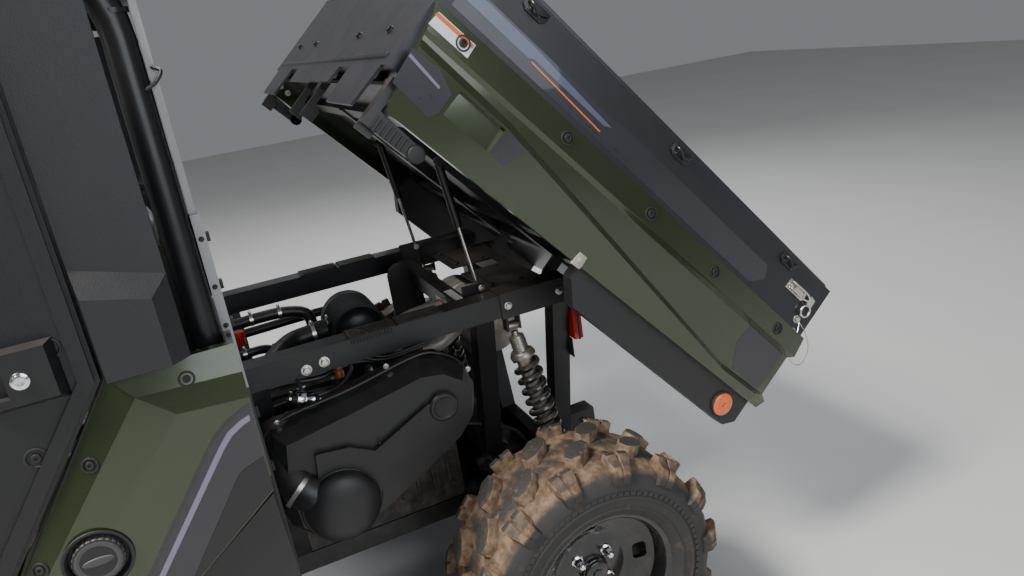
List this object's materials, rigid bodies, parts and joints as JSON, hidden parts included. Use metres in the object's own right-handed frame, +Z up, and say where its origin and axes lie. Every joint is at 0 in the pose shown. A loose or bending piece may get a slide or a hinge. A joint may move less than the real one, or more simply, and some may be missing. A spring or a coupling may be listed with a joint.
{
  "type": "side by side utility vehicle",
  "caption": "Two-seat side by side utility vehicle with a closed cab, knobby tyres and a raised dump bed over an open engine bay.",
  "frame": {"origin": "on the ground under the middle of the vehicle's box, bed raised", "axes": "+X to the vehicle's left, +Y to its rear, +Z up"},
  "size_m": [1.586, 3.3074, 1.8673],
  "materials": {
    "frame_black": "satin black powder coat",
    "rubber": "ribbed rubber",
    "textured_black": "grained black plastic",
    "window_glass": "clear",
    "panel_grey": "satin",
    "body_green": "metallic olive green gloss",
    "seat_vinyl": "grained vinyl",
    "lamp_clear": "clear lens",
    "lamp_red": "red lens",
    "spring_black": "gloss black coil with bright reservoir",
    "cast_metal": "cast",
    "moulded_black": "moulded black plastic",
    "bare_steel": "bare steel",
    "tyre": "black rubber with dried mud",
    "rim_black": "gloss black steel",
    "soft_black": "soft grip",
    "bed_steel": "textured black powder coat"
  },
  "bodies": {
    "chassis": {"lower_frame": "frame_black", "bay_frame": "frame_black", "rail_pads": "rubber", "roll_cage": "frame_black", "roof_panel": "textured_black", "cab_glass": "window_glass", "rear_bulkhead": "panel_grey", "corner_panels": "textured_black", "quarter_panels": "body_green", "fuel_cap": "textured_black", "sill_panels": "textured_black", "cab_tub": "textured_black", "seat_cushions": "seat_vinyl", "seat_backs": "seat_vinyl", "dashboard": "textured_black", "front_fascia": "textured_black", "headlamps": "lamp_clear", "front_fenders": "body_green", "front_bumper": "frame_black", "suspension_arms": "frame_black", "coil_overs": "spring_black", "axle_shafts": "cast_metal", "rear_knuckles": "cast_metal", "engine_block": "cast_metal", "belt_cover": "moulded_black", "air_cleaner": "moulded_black", "exhaust": "bare_steel", "hitch_receiver": "frame_black", "tail_lamps": "lamp_red"},
    "hood": {"hood": "body_green"},
    "door_left": {"door_left": "textured_black", "door_glass_left": "window_glass"},
    "door_right": {"door_right": "textured_black", "door_glass_right": "window_glass"},
    "knuckle_left": {"knuckle_front_left": "cast_metal"},
    "knuckle_right": {"knuckle_front_right": "cast_metal"},
    "wheel_front_left": {"tyre_front_left": "tyre", "rim_front_left": "rim_black"},
    "wheel_front_right": {"tyre_front_right": "tyre", "rim_front_right": "rim_black"},
    "wheel_rear_left": {"tyre_rear_left": "tyre", "rim_rear_left": "rim_black"},
    "wheel_rear_right": {"tyre_rear_right": "tyre", "rim_rear_right": "rim_black"},
    "rack": {"steering_rack": "bare_steel"},
    "hand_wheel": {"steering_wheel": "soft_black"},
    "bed": {"bed_tray": "bed_steel", "bed_mouldings": "body_green", "bed_latch": "frame_black", "bed_skirts": "moulded_black", "bed_channels": "frame_black"},
    "tailgate": {"tailgate": "bed_steel"},
    "barrel_left": {"strut_barrel_left": "frame_black"},
    "barrel_right": {"strut_barrel_right": "frame_black"},
    "piston_left": {"strut_rod_left": "bare_steel"},
    "piston_right": {"strut_rod_right": "bare_steel"}
  },
  "joints": [
    {"name": "steer_left", "type": "hinge", "parent": "chassis", "child": "knuckle_left", "pos_m": [0.575, -1.23123, 0.32901], "axis": [0, 0, 1], "range_deg": [-30, 30]},
    {"name": "steer_right", "type": "hinge", "parent": "chassis", "child": "knuckle_right", "pos_m": [-0.575, -1.23123, 0.32901], "axis": [0, 0, 1], "range_deg": [-30, 30]},
    {"name": "rack_slide", "type": "slide", "parent": "chassis", "child": "rack", "axis": [1, 0, 0], "range_m": [-0.0544, 0.0544]},
    {"name": "hand_wheel_turn", "type": "hinge", "parent": "chassis", "child": "hand_wheel", "pos_m": [0.33, -0.42123, 1.09], "axis": [0, 0.8192, 0.5736], "range_deg": [-300.1, 300.1]},
    {"name": "spin_front_left", "type": "hinge", "parent": "knuckle_left", "child": "wheel_front_left", "pos_m": [0.675, -1.23123, 0.32901], "axis": [1, 0, 0], "continuous": true},
    {"name": "spin_front_right", "type": "hinge", "parent": "knuckle_right", "child": "wheel_front_right", "pos_m": [-0.675, -1.23123, 0.32901], "axis": [1, 0, 0], "continuous": true},
    {"name": "spin_rear_left", "type": "hinge", "parent": "chassis", "child": "wheel_rear_left", "pos_m": [0.655, 0.86877, 0.32901], "axis": [1, 0, 0], "continuous": true},
    {"name": "spin_rear_right", "type": "hinge", "parent": "chassis", "child": "wheel_rear_right", "pos_m": [-0.655, 0.86877, 0.32901], "axis": [1, 0, 0], "continuous": true},
    {"name": "door_left_swing", "type": "hinge", "parent": "chassis", "child": "door_left", "pos_m": [0.749, -0.79823, 0.95], "axis": [0, 0, -1], "range_deg": [0, 65]},
    {"name": "door_right_swing", "type": "hinge", "parent": "chassis", "child": "door_right", "pos_m": [-0.749, -0.79823, 0.95], "axis": [0, 0, 1], "range_deg": [0, 65]},
    {"name": "hood_lift", "type": "hinge", "parent": "chassis", "child": "hood", "pos_m": [0, -0.89623, 1.036], "axis": [-1, 0, 0], "range_deg": [0, 50]},
    {"name": "bed_lower", "type": "hinge", "parent": "chassis", "child": "bed", "pos_m": [0, 1.09377, 0.905], "axis": [1, 0, 0], "range_deg": [0, 48]},
    {"name": "tailgate_drop", "type": "hinge", "parent": "bed", "child": "tailgate", "pos_m": [0, 1.42415, 0.64269], "axis": [-1, 0, 0], "range_deg": [0, 90]},
    {"name": "barrel_left_swing", "type": "hinge", "parent": "bed", "child": "barrel_left", "pos_m": [0.27, 0.79934, 1.29925], "axis": [1, 0, 0], "range_deg": [0, 35.01]},
    {"name": "piston_left_slide", "type": "slide", "parent": "barrel_left", "child": "piston_left", "axis": [0, 0.1421, -0.9898], "range_m": [-0.10283, 0]},
    {"name": "barrel_right_swing", "type": "hinge", "parent": "bed", "child": "barrel_right", "pos_m": [-0.27, 0.79934, 1.29925], "axis": [1, 0, 0], "range_deg": [0, 35.01]},
    {"name": "piston_right_slide", "type": "slide", "parent": "barrel_right", "child": "piston_right", "axis": [0, 0.1421, -0.9898], "range_m": [-0.10283, 0]}
  ],
  "couplings": [
    {"joint": "steer_right", "follows": "steer_left", "ratio": 1},
    {"joint": "rack_slide", "follows": "steer_left", "m_per_rad": -0.103},
    {"joint": "hand_wheel_turn", "follows": "steer_left", "ratio": 10},
    {"joint": "barrel_left_swing", "follows": "bed_lower", "ratio": 0.72912},
    {"joint": "piston_left_slide", "follows": "bed_lower", "m_per_rad": -0.12263},
    {"joint": "barrel_right_swing", "follows": "bed_lower", "ratio": 0.72912},
    {"joint": "piston_right_slide", "follows": "bed_lower", "m_per_rad": -0.12263}
  ]
}
